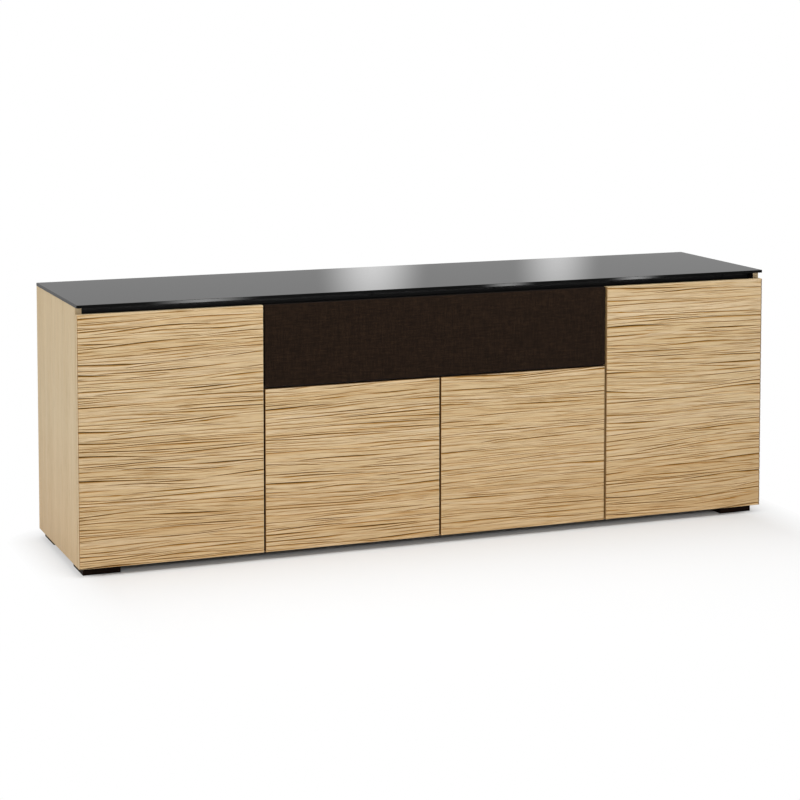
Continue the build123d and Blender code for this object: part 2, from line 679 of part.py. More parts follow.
# ---- feet ---------------------------------------------------------------------------
FOOT_X = SIDE_X - FOOT_INSET_SIDE - FOOT_WIDTH / 2
FOOT_FRONT_Y = FRONT + FOOT_INSET_FRONT + FOOT_DEPTH / 2
FOOT_BACK_Y = BACK - FOOT_INSET_BACK - FOOT_DEPTH / 2
FEET = {
    "foot_front_left": (-FOOT_X, FOOT_FRONT_Y),
    "foot_front_right": (FOOT_X, FOOT_FRONT_Y),
    "foot_back_left": (-FOOT_X, FOOT_BACK_Y),
    "foot_back_right": (FOOT_X, FOOT_BACK_Y),
    "foot_centre": (0.0, 0.0),
}


def foot_screw_points():
    return [(x, y + side * FOOT_SCREW_PITCH / 2) for x, y in FEET.values() for side in (-1, 1)]


def foot(name):
    x, y = FEET[name]
    half_x, half_y = FOOT_WIDTH / 2, FOOT_DEPTH / 2
    body = block(x - half_x, x + half_x, y - half_y, y + half_y, GLIDE_PROUD, FOOT_CLEAR)
    body = fillet(body.edges().filter_by(Axis.Z), 2.0)
    left, right = max(x - half_x, -INNER_X), min(x + half_x, INNER_X)
    riser = block(left, right, y - half_y, y + half_y, FOOT_CLEAR, FLOOR_UNDER)
    body += riser
    body -= rod("Z", (x, y), GLIDE_RADIUS, 0, GLIDE_THICK)
    for side in (-1, 1):
        centre = (x, y + side * FOOT_SCREW_PITCH / 2)
        body -= (rod("Z", centre, 6.5, 0, FOOT_SCREW_SEAT)
                 + rod("Z", centre, FOOT_SCREW_RADIUS, FOOT_SCREW_SEAT - 1, FLOOR_UNDER + 1))
    return [body]


def foot_glides():
    return [chamfer(rod("Z", at, GLIDE_RADIUS, 0, GLIDE_THICK).edges().sort_by(Axis.Z)[0], 0.8)
            for at in FEET.values()]


def foot_screws():
    return [rod("Z", at, 6.0, FOOT_SCREW_SEAT - 4, FOOT_SCREW_SEAT)
            + rod("Z", at, FOOT_SCREW_RADIUS, FOOT_SCREW_SEAT, FLOOR_UNDER + 12)
            for at in foot_screw_points()]


# ---- glass and small pads -----------------------------------------------------------
def glass_top():
    half = SIDE_X + GLASS_OVERHANG
    plate = block(-half, half, FRONT, BACK, HEIGHT - GLASS_THICK, HEIGHT)
    plate = fillet(plate.edges().filter_by(Axis.Z), 3.0)
    return [chamfer(plate.faces().sort_by(Axis.Z)[-1].edges(), 0.6)]


def glass_pads():
    spots = [(way * (SIDE_X - 9.0), y) for way in (-1, 1) for y in (-200.0, 0.0, 225.0)]
    spots += [(way * 350.0, y) for way in (-1, 1) for y in (-180.0, 0.0, 220.0)]
    return [rod("Z", at, 6.0, CASE_TOP, HEIGHT - GLASS_THICK) for at in spots]


def door_bumpers():
    """Clear pads on the case that the doors' free edges close against."""
    pads = []
    for name, (edge, way, top, face) in DOORS.items():
        outer_door = top == DOOR_TOP
        x = edge + way * (DOOR_WIDTH - (3.2 if outer_door else 3.5))
        low, high = FLOOR_TOP + 40.0, (RAIL_BOTTOM if outer_door else DECK_UNDER) - 40.0
        pads += [rod("Y", (x, z), 2.6, CASE_FRONT - DOOR_STANDOFF, CASE_FRONT)
                 for z in (low, high)]
    return pads


# ---- every node ---------------------------------------------------------------------
def build():
    nodes = {
        "glass_top": glass_top(),
        "clear_pads": glass_pads() + door_bumpers(),
        "finger_rail": finger_rail(),
        "rail_screws": rail_screws(),
        "side_panel_left": side_panel(-1),
        "side_panel_right": side_panel(1),
        "partition_left": [drilled_for_back(partition(-1)[0])],
        "partition_right": [drilled_for_back(partition(1)[0])],
        "partition_centre": partition_centre(),
        "floor_board": floor_board(),
        "top_board": top_board(),
        "speaker_deck": speaker_deck(),
        "wood_cleats": back_cleats() + grille_cleats(),
        "dowels": dowel_rods(),
        "cam_fittings": cam_bolts() + cam_housings(),
        "shelf_pins": shelf_pins(),
        "foot_glides": foot_glides(),
        "grille_cloth": grille_cloth(),
        "grille_frame": grille_frame(),
        "grille_studs": grille_studs(),
        "grille_sockets": grille_sockets(),
    }
    for number, level in enumerate(TALL_SHELVES):
        place = ("lower", "upper")[number]
        nodes[f"shelf_left_{place}"] = shelf(-INNER_X, -BAY_EDGE_OUT, level)
        nodes[f"shelf_right_{place}"] = shelf(BAY_EDGE_OUT, INNER_X, level)
    nodes["shelf_centre_left"] = shelf(-BAY_EDGE_IN, -PANEL / 2, LOW_SHELVES[0])
    nodes["shelf_centre_right"] = shelf(PANEL / 2, BAY_EDGE_IN, LOW_SHELVES[0])
    for name in BACKS:
        nodes[name] = back_board(name)
    for name in FEET:
        nodes[name] = foot(name)
    arms, plates = [], []
    case_screws = back_screws() + foot_screws()
    for door, (edge, way, top, face) in DOORS.items():
        nodes[door] = front_panel(door)
        nodes[door + "_hinge_cups"] = at_hinges(door, [hinge_cup()] + hinge_cup_pins())
        nodes[door + "_outer_links"] = at_hinges(door, hinge_outer_link())
        nodes[door + "_inner_links"] = at_hinges(door, hinge_inner_link())
        nodes[door + "_cup_screws"] = at_hinges(door, hinge_cup_screws())
        arms += at_hinges(door, [hinge_arm(face)] + hinge_arm_pins())
        plates += at_hinges(door, [hinge_plate(face)])
        case_screws += at_hinges(door, hinge_case_screws(face))
    nodes["hinge_arms"] = arms
    nodes["hinge_plates"] = plates
    nodes["case_screws"] = case_screws
    return nodes


def solids_of(pieces):
    found = []
    for piece in pieces:
        found += list(piece.solids())
    return found


NODES = build()
for node_name, pieces in NODES.items():
    export_step(Compound(children=solids_of(pieces)), f"parts/{node_name}.step")
print(len(NODES), "nodes")
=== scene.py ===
import json
import math

import bmesh
import bpy
import numpy as np
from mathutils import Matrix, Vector


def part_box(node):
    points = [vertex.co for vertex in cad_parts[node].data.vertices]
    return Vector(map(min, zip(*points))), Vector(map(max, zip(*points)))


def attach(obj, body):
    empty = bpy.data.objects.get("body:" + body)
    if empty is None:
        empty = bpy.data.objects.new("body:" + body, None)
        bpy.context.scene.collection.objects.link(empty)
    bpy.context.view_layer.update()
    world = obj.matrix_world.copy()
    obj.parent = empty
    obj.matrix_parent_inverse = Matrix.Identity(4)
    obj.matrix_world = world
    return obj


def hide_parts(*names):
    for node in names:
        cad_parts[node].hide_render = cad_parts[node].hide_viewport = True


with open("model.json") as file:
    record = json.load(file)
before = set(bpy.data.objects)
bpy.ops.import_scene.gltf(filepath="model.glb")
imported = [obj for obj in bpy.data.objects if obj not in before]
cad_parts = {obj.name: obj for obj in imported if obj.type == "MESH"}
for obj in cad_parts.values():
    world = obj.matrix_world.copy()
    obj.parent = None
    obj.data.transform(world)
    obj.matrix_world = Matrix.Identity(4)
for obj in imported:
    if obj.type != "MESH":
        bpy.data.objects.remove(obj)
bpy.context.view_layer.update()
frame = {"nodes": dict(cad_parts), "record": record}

MM = 0.001


# ---- colours and nodes --------------------------------------------------------------
def srgb(red, green, blue):
    """Linear colour of an sRGB colour given in steps of 255."""
    def linear(step):
        share = step / 255
        return share / 12.92 if share <= 0.04045 else ((share + 0.055) / 1.055) ** 2.4
    return (linear(red), linear(green), linear(blue), 1.0)


def grey(level):
    return (level, level, level, 1.0)


def dimmed(tone, share):
    """A linear colour times a share."""
    return tuple(share * part for part in tone[:3]) + (1.0,)


class Nodes:
    """A node tree, emptied and built up again by short calls."""

    def __init__(self, tree):
        self.tree = tree
        tree.nodes.clear()

    def put(self, socket, value):
        """Links a node's output to the socket, or sets a plain value on it."""
        if isinstance(value, bpy.types.NodeSocket):
            self.tree.links.new(value, socket)
        else:
            socket.default_value = value

    def add(self, kind, sockets=None, **settings):
        """A new node, with the node's own settings and values or links on its sockets."""
        made = self.tree.nodes.new(kind)
        for name, value in settings.items():
            setattr(made, name, value)
        for name, value in (sockets or {}).items():
            self.put(made.inputs[name], value)
        return made

    def calc(self, operation, *values):
        made = self.add("ShaderNodeMath", operation=operation)
        for socket, value in zip(made.inputs, values):
            self.put(socket, value)
        return made.outputs[0]

    def choose(self, share, low, high):
        """A shader node that goes from low to high as share goes from 0 to 1."""
        made = self.add("ShaderNodeMixShader")
        for socket, value in zip(made.inputs, (share, low.outputs[0], high.outputs[0])):
            self.put(socket, value)
        return made

    def show(self, kind, shader):
        """Puts a shader node on the output of a Material or World tree."""
        self.add("ShaderNodeOutput" + kind, {"Surface": shader.outputs[0]})


def new_material(name):
    material = bpy.data.materials.new(name)
    material.use_nodes = True
    return material


class Finish(Nodes):
    """A material with one Principled shader."""

    def __init__(self, name, sockets):
        self.material = new_material(name)
        super().__init__(self.material.node_tree)
        self.shader = self.add("ShaderNodeBsdfPrincipled", sockets)
        self.show("Material", self.shader)
        self.place = self.add("ShaderNodeTexCoord").outputs["Object"]
        self.normal = None

    def noise(self, scale, stretch=(1, 1, 1), detail=2.0, rough=0.5, warp=0.0,
              shift=(0, 0, 0)):
        """Noise over the object, finer along an axis whose stretch is larger."""
        place = self.add("ShaderNodeMapping", {
            "Vector": self.place, "Scale": stretch, "Location": shift})
        made = self.add("ShaderNodeTexNoise", {
            "Vector": place.outputs[0], "Scale": scale, "Detail": detail,
            "Roughness": rough, "Distortion": warp})
        return made.outputs["Fac"]

    def ramp(self, share, stops):
        """A colour along stops, a list of (position, colour)."""
        made = self.add("ShaderNodeValToRGB", {"Fac": share})
        elements = made.color_ramp.elements
        while len(elements) < len(stops):
            elements.new(0.5)
        for element, (position, colour) in zip(elements, stops):
            element.position = position
            element.color = colour
        return made.outputs["Color"]

    def mix(self, share, low, high, blend="MIX"):
        """A colour from low to high; the numbers are the node's colour sockets."""
        made = self.add("ShaderNodeMix", data_type="RGBA", blend_type=blend)
        for index, value in ((0, share), (6, low), (7, high)):
            self.put(made.inputs[index], value)
        return made.outputs[2]

    def times(self, colour, tint):
        return self.mix(1.0, colour, tint, "MULTIPLY")

    def spread(self, value, low, high, to_low=0.0, to_high=1.0):
        """A value clamped between low and high, carried over to another range."""
        made = self.add("ShaderNodeMapRange", {
            "Value": value, "From Min": low, "From Max": high,
            "To Min": to_low, "To Max": to_high})
        return made.outputs[0]

    def along(self, axis):
        parts = self.add("ShaderNodeSeparateXYZ", {"Vector": self.place})
        return parts.outputs[axis]

    def attribute(self, name):
        return self.add("ShaderNodeAttribute", attribute_name=name).outputs["Fac"]

    def mottle(self, noise, low, high):
        """Sets a colour between two along a noise."""
        self.colour(self.ramp(noise, [(NOISE_LOW, low), (NOISE_HIGH, high)]))

    def roughen(self, noise, low, high):
        """Sets a roughness between two along a noise."""
        self.roughness(self.spread(noise, NOISE_LOW, NOISE_HIGH, low, high))

    def bump(self, height, distance):
        sockets = {"Height": height, "Distance": distance}
        if self.normal is not None:
            sockets["Normal"] = self.normal
        self.normal = self.add("ShaderNodeBump", sockets).outputs["Normal"]
        self.put(self.shader.inputs["Normal"], self.normal)

    def colour(self, value):
        self.put(self.shader.inputs["Base Color"], value)

    def roughness(self, value):
        self.put(self.shader.inputs["Roughness"], value)


# ---- materials ----------------------------------------------------------------------
NOISE_LOW, NOISE_HIGH = 0.3, 0.7            # the range that a noise mostly fills
PORE_DEPTH = 0.06 * MM
CUT_DEPTH = 0.3 * MM                        # fine cuts between the carved grooves
FIBRE_HEIGHT = 0.05 * MM
THREAD_PITCH = 1.1 * MM                     # weave of the speaker cloth
OAK_PALE = srgb(203, 184, 154)
OAK_MID = srgb(199, 178, 146)
OAK_DEEP = srgb(194, 172, 138)
OAK_PORE = srgb(150, 120, 80)
OAK_BARE = srgb(255, 252, 240)
DOOR_LOW_SHADE = (0.985, 0.93, 0.86, 1.0)      # painted shade: darker, warmer tint of the doors' oak near the floor
# painted shade: the same for the sides' oak
SIDE_LOW_SHADE = (0.975, 0.89, 0.79, 1.0)
LOW_SHADE_HEIGHTS = (0.03, 0.40)                 # where that tint is full, and where it ends
GROOVE_FLANK_SHADE = srgb(198, 160, 50)             # painted shade: tint of a groove's flanks and of the fine cuts
FLANK_SHADE_DEPTHS = (0.3 * MM, 1.3 * MM)           # depths where that tint starts and is full
GROOVE_SHADE = srgb(64, 38, 1)              # painted shade at the bottom of a groove
GROOVE_SHADE_DEPTHS = (1.1 * MM, 2.1 * MM)
# painted shade on the dark arrises and along the right-hand doors' edges
EDGE_SHADE = srgb(104, 86, 56)
EDGE_DEEP = 8 * MM                          # depth where the painted shade of a gap's edge is full
ESPRESSO = srgb(44, 36, 31)


def along_grain(grain, share):
    """Stretch of a noise whose spots are drawn out along the grain."""
    return {"X": (share, 1, 1), "Z": (1, 1, share)}[grain]


def oak_layers(finish, grain, low_shade=DOOR_LOW_SHADE):
    """Colour and pore mask of oak whose grain runs along X or Z, with painted shade that
    darkens and warms it near the floor.
    """
    thin = along_grain(grain, 0.045)
    hair = along_grain(grain, 0.02)
    bands = finish.noise(17.0, thin, detail=3.0, rough=0.55, warp=0.35)
    fibres = finish.noise(260.0, hair, detail=3.0, rough=0.6)
    pores = finish.noise(900.0, hair, detail=1.0, shift=(0.3, 0.7, 0.1))
    colour = finish.ramp(bands, [(0.28, OAK_DEEP), (0.5, OAK_MID), (0.74, OAK_PALE)])
    shade = finish.spread(fibres, NOISE_LOW, NOISE_HIGH, 0.90, 1.06)
    shades = finish.add("ShaderNodeCombineColor",
                        {"Red": shade, "Green": shade, "Blue": shade})
    colour = finish.times(colour, shades.outputs[0])
    # painted shade: darker and warmer towards the floor
    height = finish.spread(finish.along("Z"), *LOW_SHADE_HEIGHTS)
    low_shade = finish.ramp(height, [(0.0, low_shade), (1.0, grey(1.0))])
    colour = finish.times(colour, low_shade)
    pore_mask = finish.spread(pores, 0.60, 0.70)
    pore_share = finish.calc("MULTIPLY", pore_mask, 0.35)
    return finish.mix(pore_share, colour, OAK_PORE), pore_mask


def oil(finish, pores, low, high):
    """Roughness and open pores of oiled oak."""
    finish.roughness(finish.spread(pores, 0, 1, low, high))
    finish.bump(pores, -PORE_DEPTH)


def oak_veneer(name, tint):
    """Smooth oak with a tint over its own colours."""
    finish = Finish(name, {"Specular IOR Level": 0.3})
    colour, pores = oak_layers(finish, "X")
    finish.colour(finish.times(colour, tint))
    oil(finish, pores, 0.46, 0.62)
    return finish.material


def oak_relief():
    """Carved oak: painted shade in the grooves, on the groove flanks and cuts, and along
    some edges, and for each stroke its own tone.
    """
    finish = Finish("oak_relief", {"Specular IOR Level": 0.16})
    colour, pores = oak_layers(finish, "X")
    stroke = finish.attribute("stroke_tone")
    tint = finish.ramp(stroke, [(0.0, srgb(246, 236, 217)), (0.5, srgb(249, 244, 231)),
                                (1.0, srgb(253, 250, 245))])
    colour = finish.times(colour, tint)
    cuts = finish.noise(620.0, (0.018, 1, 1), detail=1.0, warp=0.1, shift=(2, 3, 5))
    cut_mask = finish.spread(cuts, 0.58, 0.67)
    y = finish.along("Y")
    # painted shade: a darker tan tint down the groove flanks and along the fine cuts
    slope = finish.spread(y, FRONT_Y + FLANK_SHADE_DEPTHS[0], FRONT_Y + FLANK_SHADE_DEPTHS[1], 0.0, 0.9)
    flank_shade = finish.calc("ADD", finish.calc("MULTIPLY", cut_mask, 0.5), slope)
    colour = finish.mix(flank_shade, colour, finish.times(colour, GROOVE_FLANK_SHADE))
    # painted shade, a little patchy, at the bottom of each groove
    blotch = finish.noise(30.0, (0.12, 1, 1), detail=2.0, shift=(4, 2, 1))
    depth = finish.spread(y, FRONT_Y + GROOVE_SHADE_DEPTHS[0], FRONT_Y + GROOVE_SHADE_DEPTHS[1])
    patchy = finish.spread(blotch, NOISE_LOW, NOISE_HIGH, 0.75, 1.0)
    colour = finish.mix(finish.calc("MULTIPLY", depth, patchy), colour, GROOVE_SHADE)
    # painted shade along the edges of the right-hand doors
    shaded_edge_colour = finish.times(colour, EDGE_SHADE)
    finish.colour(finish.mix(finish.attribute("edge_shade"), colour, shaded_edge_colour))
    finish.bump(cut_mask, -CUT_DEPTH)
    oil(finish, pores, 0.52, 0.66)
    return finish.material


def gap_edge(name, front_tint, deep_tint):
    """The door edges in the gaps: oak whose tint changes with depth behind the arris; it
    paints the shade inside the gaps, and on the right door's gap edge the light.
    """
    finish = Finish(name, {"Specular IOR Level": 0.16})
    colour, pores = oak_layers(finish, "X")
    depth = finish.spread(finish.along("Y"), FRONT_Y + EDGE_ROUND, FRONT_Y + EDGE_DEEP)
    tint = finish.ramp(depth, [(0.0, front_tint), (1.0, deep_tint)])
    finish.colour(finish.times(colour, tint))
    oil(finish, pores, 0.52, 0.66)
    return finish.material


def espresso_layers(finish, tone, grain):
    """Colour and fibres of a dark laminate whose grain runs along X or Z."""
    thin = along_grain(grain, 0.04)
    bands = finish.noise(24.0, thin, detail=3.0, warp=0.3)
    fibres = finish.noise(340.0, thin, detail=2.0)
    stops = [(0.3, dimmed(tone, 0.72)), (0.52, tone), (0.75, dimmed(tone, 1.35))]
    return finish.ramp(bands, stops), fibres


def side_panel():
    """Oak outside and on the edges, with the espresso laminate on the inner face."""
    finish = Finish("side_panel", {"Specular IOR Level": 0.3})
    oak, pores = oak_layers(finish, "Z", SIDE_LOW_SHADE)
    lining, fibres = espresso_layers(finish, ESPRESSO, "Z")
    inner_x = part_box("side_panel_right")[0].x
    inside = finish.spread(finish.calc("ABSOLUTE", finish.along("X")),
                           inner_x + 0.2 * MM, inner_x + 0.1 * MM)
    finish.colour(finish.mix(inside, finish.times(oak, OAK_BARE), lining))
    oil(finish, pores, 0.46, 0.62)
    finish.bump(fibres, FIBRE_HEIGHT)
    return finish.material


def dark_board(name, tone, grain):
    """Espresso laminate with a faint embossed grain."""
    finish = Finish(name, {"Specular IOR Level": 0.35})
    colour, fibres = espresso_layers(finish, tone, grain)
    finish.colour(colour)
    finish.roughen(fibres, 0.42, 0.58)
    finish.bump(fibres, FIBRE_HEIGHT)
    return finish.material


def smoked_glass():
    """Black polished glass with faint clouds and smears."""
    finish = Finish("smoked_glass", {"Specular IOR Level": 0.06, "IOR": 1.5})
    clouds = finish.noise(3.0, detail=3.0)
    smears = finish.noise(60.0, (0.3, 1, 1), detail=4.0, rough=0.6)
    finish.mottle(clouds, grey(0.002), grey(0.004))
    finish.roughness(finish.spread(smears, 0.35, 0.75, 0.035, 0.06))
    return finish.material


def black_aluminium():
    """Anodised aluminium with fine lines along it."""
    finish = Finish("black_aluminium", {"Metallic": 0.2, "Specular IOR Level": 0.12})
    lines = finish.noise(900.0, (0.006, 1, 1), detail=2.0)
    finish.mottle(lines, grey(0.004), grey(0.008))
    finish.roughen(lines, 0.34, 0.46)
    finish.bump(lines, 0.02 * MM)
    return finish.material


def speaker_cloth():
    """Open-weave cloth: crossing threads about a millimetre apart, with paler slubs."""
    finish = Finish("speaker_cloth", {"Specular IOR Level": 0.05, "Sheen Weight": 0.02,
                                      "Sheen Roughness": 0.5})
    turns = 2 * math.pi / THREAD_PITCH
    warp = finish.calc("SINE", finish.calc("MULTIPLY", finish.along("X"), turns))
    weft = finish.calc("SINE", finish.calc("MULTIPLY", finish.along("Z"), turns))
    crossing = finish.spread(finish.calc("MULTIPLY", warp, weft), -1, 1)
    slub_x = finish.noise(300.0, (0.12, 1, 1), detail=2.0)
    slub_z = finish.noise(300.0, (1, 1, 0.12), detail=2.0, shift=(3, 3, 3))
    slubs = finish.calc("MULTIPLY", finish.calc("ADD", slub_x, slub_z), 0.5)
    tone = finish.calc("ADD", finish.calc("MULTIPLY", crossing, 0.35),
                       finish.calc("MULTIPLY", slubs, 0.65))
    finish.colour(finish.ramp(tone, [(0.30, srgb(17, 10, 5)), (0.55, srgb(30, 20, 13)),
                                     (0.72, srgb(52, 37, 24))]))
    finish.roughness(0.85)
    finish.bump(crossing, 0.22 * MM)
    finish.bump(slubs, 0.15 * MM)
    return finish.material


def plated(name, tone, rough):
    """Plated metal with a fine drawn texture."""
    finish = Finish(name, {"Metallic": 1.0})
    drawn = finish.noise(700.0, (0.05, 1, 1), detail=3.0)
    cloud = finish.noise(45.0, detail=2.0, shift=(1, 5, 2))
    finish.colour(finish.ramp(cloud, [(0.35, dimmed(tone, 0.82)), (0.65, tone)]))
    finish.roughen(drawn, rough - 0.06, rough + 0.08)
    finish.bump(drawn, 0.02 * MM)
    return finish.material


def moulded(name, tone, rough):
    """Moulded plastic or rubber with a fine sparked texture."""
    finish = Finish(name, {"Specular IOR Level": 0.45})
    spark = finish.noise(1600.0, detail=2.0)
    cloud = finish.noise(40.0, detail=2.0)
    finish.colour(finish.ramp(cloud, [(0.35, dimmed(tone, 0.85)), (0.65, tone)]))
    finish.roughen(spark, rough - 0.05, rough + 0.05)
    finish.bump(spark, 0.03 * MM)
    return finish.material


def clear_plastic():
    """Clear soft plastic with a slight haze."""
    finish = Finish("clear_plastic", {"Transmission Weight": 1.0, "IOR": 1.45})
    haze = finish.noise(300.0, detail=2.0)
    finish.mottle(haze, srgb(206, 209, 207), srgb(232, 234, 232))
    finish.roughen(haze, 0.12, 0.3)
    finish.bump(haze, 0.02 * MM)
    return finish.material


def espresso_wood():
    """Near-black stained wood of the feet."""
    finish = Finish("espresso_wood", {"Specular IOR Level": 0.04})
    bands = finish.noise(60.0, (0.06, 1, 1), detail=3.0, warp=0.4)
    fibres = finish.noise(500.0, (0.03, 1, 1), detail=2.0)
    finish.mottle(bands, srgb(14, 5, 1), srgb(27, 12, 5))
    finish.roughen(fibres, 0.45, 0.6)
    finish.bump(fibres, 0.08 * MM)
    return finish.material


def beech():
    """Plain beech of the dowels."""
    finish = Finish("beech", {"Specular IOR Level": 0.3, "Roughness": 0.6})
    flecks = finish.noise(350.0, (0.1, 1, 1), detail=3.0)
    finish.mottle(flecks, srgb(190, 150, 108), srgb(216, 182, 142))
    finish.bump(flecks, FIBRE_HEIGHT)
    return finish.material


# ---- doors --------------------------------------------------------------------------
SEED = 17
DOORS = {                               # depth share and line spacing of the carving
    "door_left": (1.18, 6.0 * MM),
    "door_centre_left": (1.16, 5.8 * MM),
    "door_centre_right": (0.90, 5.6 * MM),
    "door_right": (1.06, 5.6 * MM)}
ARRIS_TONES = {                         # tone of the left, right, top and bottom arris, picked per door by how the light falls: painted shade where it says stained or dark, the oak's own tone where it says bare
    "door_left": ("stained", "bare", "bare", "bare"),
    "door_centre_left": ("stained", "bare", "dark", "bare"),
    "door_centre_right": ("stained", "stained", "dark", "bare"),
    "door_right": ("stained", "dark", "bare", "bare")}
NO_SHADES = (0.0, 0.0)                  # painted shade along a front's left and right edge, 0 to 1
# painted shade on the edges of the two right-hand doors, where less light falls
SIDE_SHADES = {"door_centre_right": (0.0, 0.35), "door_right": (0.2, 1.0)}
FRONTS_LOW, FRONTS_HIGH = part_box("door_left")[0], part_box("door_right")[1]
FRONT_Y = FRONTS_LOW.y
EDGE_ROUND = 1.1 * MM                   # arris round the front and the back
EDGE_TURNS = (0, 30, 60, 90)            # degrees round an arris
# width of the strip of painted edge shade
EDGE_SHADE_WIDTH = 3.0 * MM
COLUMN_STEP = 7.5 * MM                  # spacing of the mesh columns
FIELD_MARGIN = 60 * MM                  # lines start and end this far beyond a front
PITCH_SPREAD = (0.7, 1.3)               # least and greatest share of the line spacing
FLOW_WAVES = 5                          # waves that all lines of a door share
FLOW_RATES_X, FLOW_RATES_Z = (0.3, 1.1), (-4.0, 4.0)    # in waves a metre
FLOW_REACH = (2.0, 5.0)                 # in millimetres
OWN_WAVES = 3                           # waves of a single line, and of its depth
OWN_SHARES = (0.5, 1.0)                 # least and greatest share of their reach
LINE_LENGTHS, LINE_REACH = (0.3, 1.3), 0.5      # in metres, and in line spacings
FADE_LENGTHS, FADE_REACH = (0.2, 0.9), 0.3      # the same for the depth, in its shares
LINE_TILT = 0.012                       # how far single lines lean, as a slope
LINE_GAP_MIN = 1.8 * MM
FORK_GAP = 1.6 * MM                     # gap beyond the least at which a groove is full
FORK_SHARE_MIN = 0.1                    # depth share of a groove where it forks
GROOVE_DEPTHS = (1.2, 3.2)              # in millimetres
FADE_MEAN, FADE_MIN = 0.68, 0.12        # depth share along a groove, and its least
WALL_WIDTH = 1.4 * MM                   # steep side of a groove, above its bottom
WALL_SHARE_MAX = 0.4                    # and the most of a stroke that it takes
WALL_ROWS = (0.0, 0.2, 0.5, 1.0)        # mesh rows up the steep side
SLOPE_ROWS = (0.3, 0.55, 0.75, 0.88, 0.96)      # and up the long slope to the next
WALL_CURVE, SLOPE_CURVE = 2, 2.8        # powers that round the two sides
SAME_POINT = 1e-6                       # vertices this close become one
SAME_LINE = 1e-5                        # slack for a point that lies on an edge's plane
OUTER_REACH = 1 * MM                    # slack for one on the outline of all the fronts
FRONT_DEPTH = 6 * MM                    # deeper than all the carving
CUP_BORE = 17.5 * MM                    # radius of a hinge cup's bore
CUP_FLANGE_HALF = 28 * MM               # half the height of a cup's flange
BORE_SIDES = 40
FRONT, FIRST_ARRIS, OAK_EDGE, GAP_EDGE = 0, 1, 5, 6     # material slots of a door


def waves(rng, low, high, reach):
    """Random sine waves (waves a metre, phase, height) with lengths from low to high."""
    lengths = rng.uniform(low, high, OWN_WAVES)
    return [(1 / length, rng.uniform(0, 2 * math.pi), reach * rng.uniform(*OWN_SHARES))
            for length in lengths]


def wave_sum(parts, x):
    return sum(height * np.sin(2 * math.pi * rate * x + phase)
               for rate, phase, height in parts)


def groove_lines(rng, x, z_low, z_high, share, pitch):
    """Heights and depths of the carved grooves at each column x, as two arrays."""
    bases, z = [], z_low - FIELD_MARGIN
    while z < z_high + FIELD_MARGIN:
        bases.append(z)
        z += pitch * rng.uniform(*PITCH_SPREAD)
    flow = [(rng.uniform(*FLOW_RATES_X), rng.uniform(*FLOW_RATES_Z),
             rng.uniform(0, 2 * math.pi), rng.uniform(*FLOW_REACH) * MM)
            for _ in range(FLOW_WAVES)]
    heights, depths = [], []
    for base in bases:
        line = np.full_like(x, base)
        for rate_x, rate_z, phase, reach in flow:
            line += reach * np.sin(2 * math.pi * (rate_x * x + rate_z * base) + phase)
        line += wave_sum(waves(rng, *LINE_LENGTHS, LINE_REACH * pitch), x)
        line += rng.normal(0, LINE_TILT) * (x - x.mean())
        alone = 1.0
        if heights:
            line = np.maximum(line, heights[-1] + LINE_GAP_MIN)
            alone = (line - heights[-1] - LINE_GAP_MIN) / FORK_GAP
            alone = np.clip(alone, FORK_SHARE_MIN, 1.0)
        heights.append(line)
        fade = FADE_MEAN + wave_sum(waves(rng, *FADE_LENGTHS, FADE_REACH), x)
        fade = np.clip(fade, FADE_MIN, 1.0)
        depths.append(share * rng.uniform(*GROOVE_DEPTHS) * MM * alone * fade)
    return np.array(heights), np.array(depths)


def relief_rows(lines, depths):
    """Mesh rows that follow the grooves: heights, insets from the front, stroke numbers."""
    rows, insets, strokes = [], [], []
    for number in range(len(lines) - 1):
        low, high = lines[number], lines[number + 1]
        wall = np.minimum(WALL_WIDTH, WALL_SHARE_MAX * (high - low))
        slope = high - low - wall
        spots = [low + wall * share for share in WALL_ROWS]
        spots += [low + wall + slope * share for share in SLOPE_ROWS]
        for spot in spots:
            below = 1 - np.clip((spot - low) / wall, 0, 1)
            above = 1 - np.clip((high - spot) / slope, 0, 1)
            rows.append(spot)
            insets.append(depths[number] * below ** WALL_CURVE
                          + depths[number + 1] * above ** SLOPE_CURVE)
            strokes.append(number)
    return np.array(rows), np.array(insets), strokes


def relief_mesh(rng, low, high, carving, side_shades):
    """The carved front of a door, as a bmesh grid whose rows follow the grooves."""
    x0, x1 = low.x + EDGE_ROUND, high.x - EDGE_ROUND
    z0, z1 = low.z + EDGE_ROUND, high.z - EDGE_ROUND
    columns = round((x1 - x0) / COLUMN_STEP) + 1
    inner = np.linspace(x0 + EDGE_SHADE_WIDTH, x1 - EDGE_SHADE_WIDTH, columns)
    x = np.concatenate(([x0], inner, [x1]))
    # painted shade on the first and the last column of the front
    edge_shades = np.concatenate((side_shades[:1], np.zeros(len(inner)), side_shades[1:]))
    rows, insets, strokes = relief_rows(*groove_lines(rng, x, z0, z1, *carving))
    tones = rng.random(max(strokes) + 1)
    mesh = bmesh.new()
    tone_layer = mesh.verts.layers.float.new("stroke_tone")
    shade_layer = mesh.verts.layers.float.new("edge_shade")
    grid = []
    for column, across in enumerate(x):
        spots = np.clip(rows[:, column], z0, z1)
        depth = np.interp(spots, rows[:, column], insets[:, column])
        made = [mesh.verts.new((across, FRONT_Y + inset, spot))
                for spot, inset in zip(spots, depth)]
        for vertex, stroke in zip(made, strokes):
            vertex[tone_layer] = tones[stroke]
            vertex[shade_layer] = edge_shades[column]
        grid.append(made)
    for left, right in zip(grid, grid[1:]):
        for row in range(len(left) - 1):
            mesh.faces.new((left[row], right[row], right[row + 1], left[row + 1]))
    bmesh.ops.remove_doubles(mesh, verts=mesh.verts, dist=SAME_POINT)
    return mesh


def open_edges(edges):
    return [edge for edge in edges if len(edge.link_faces) == 1]


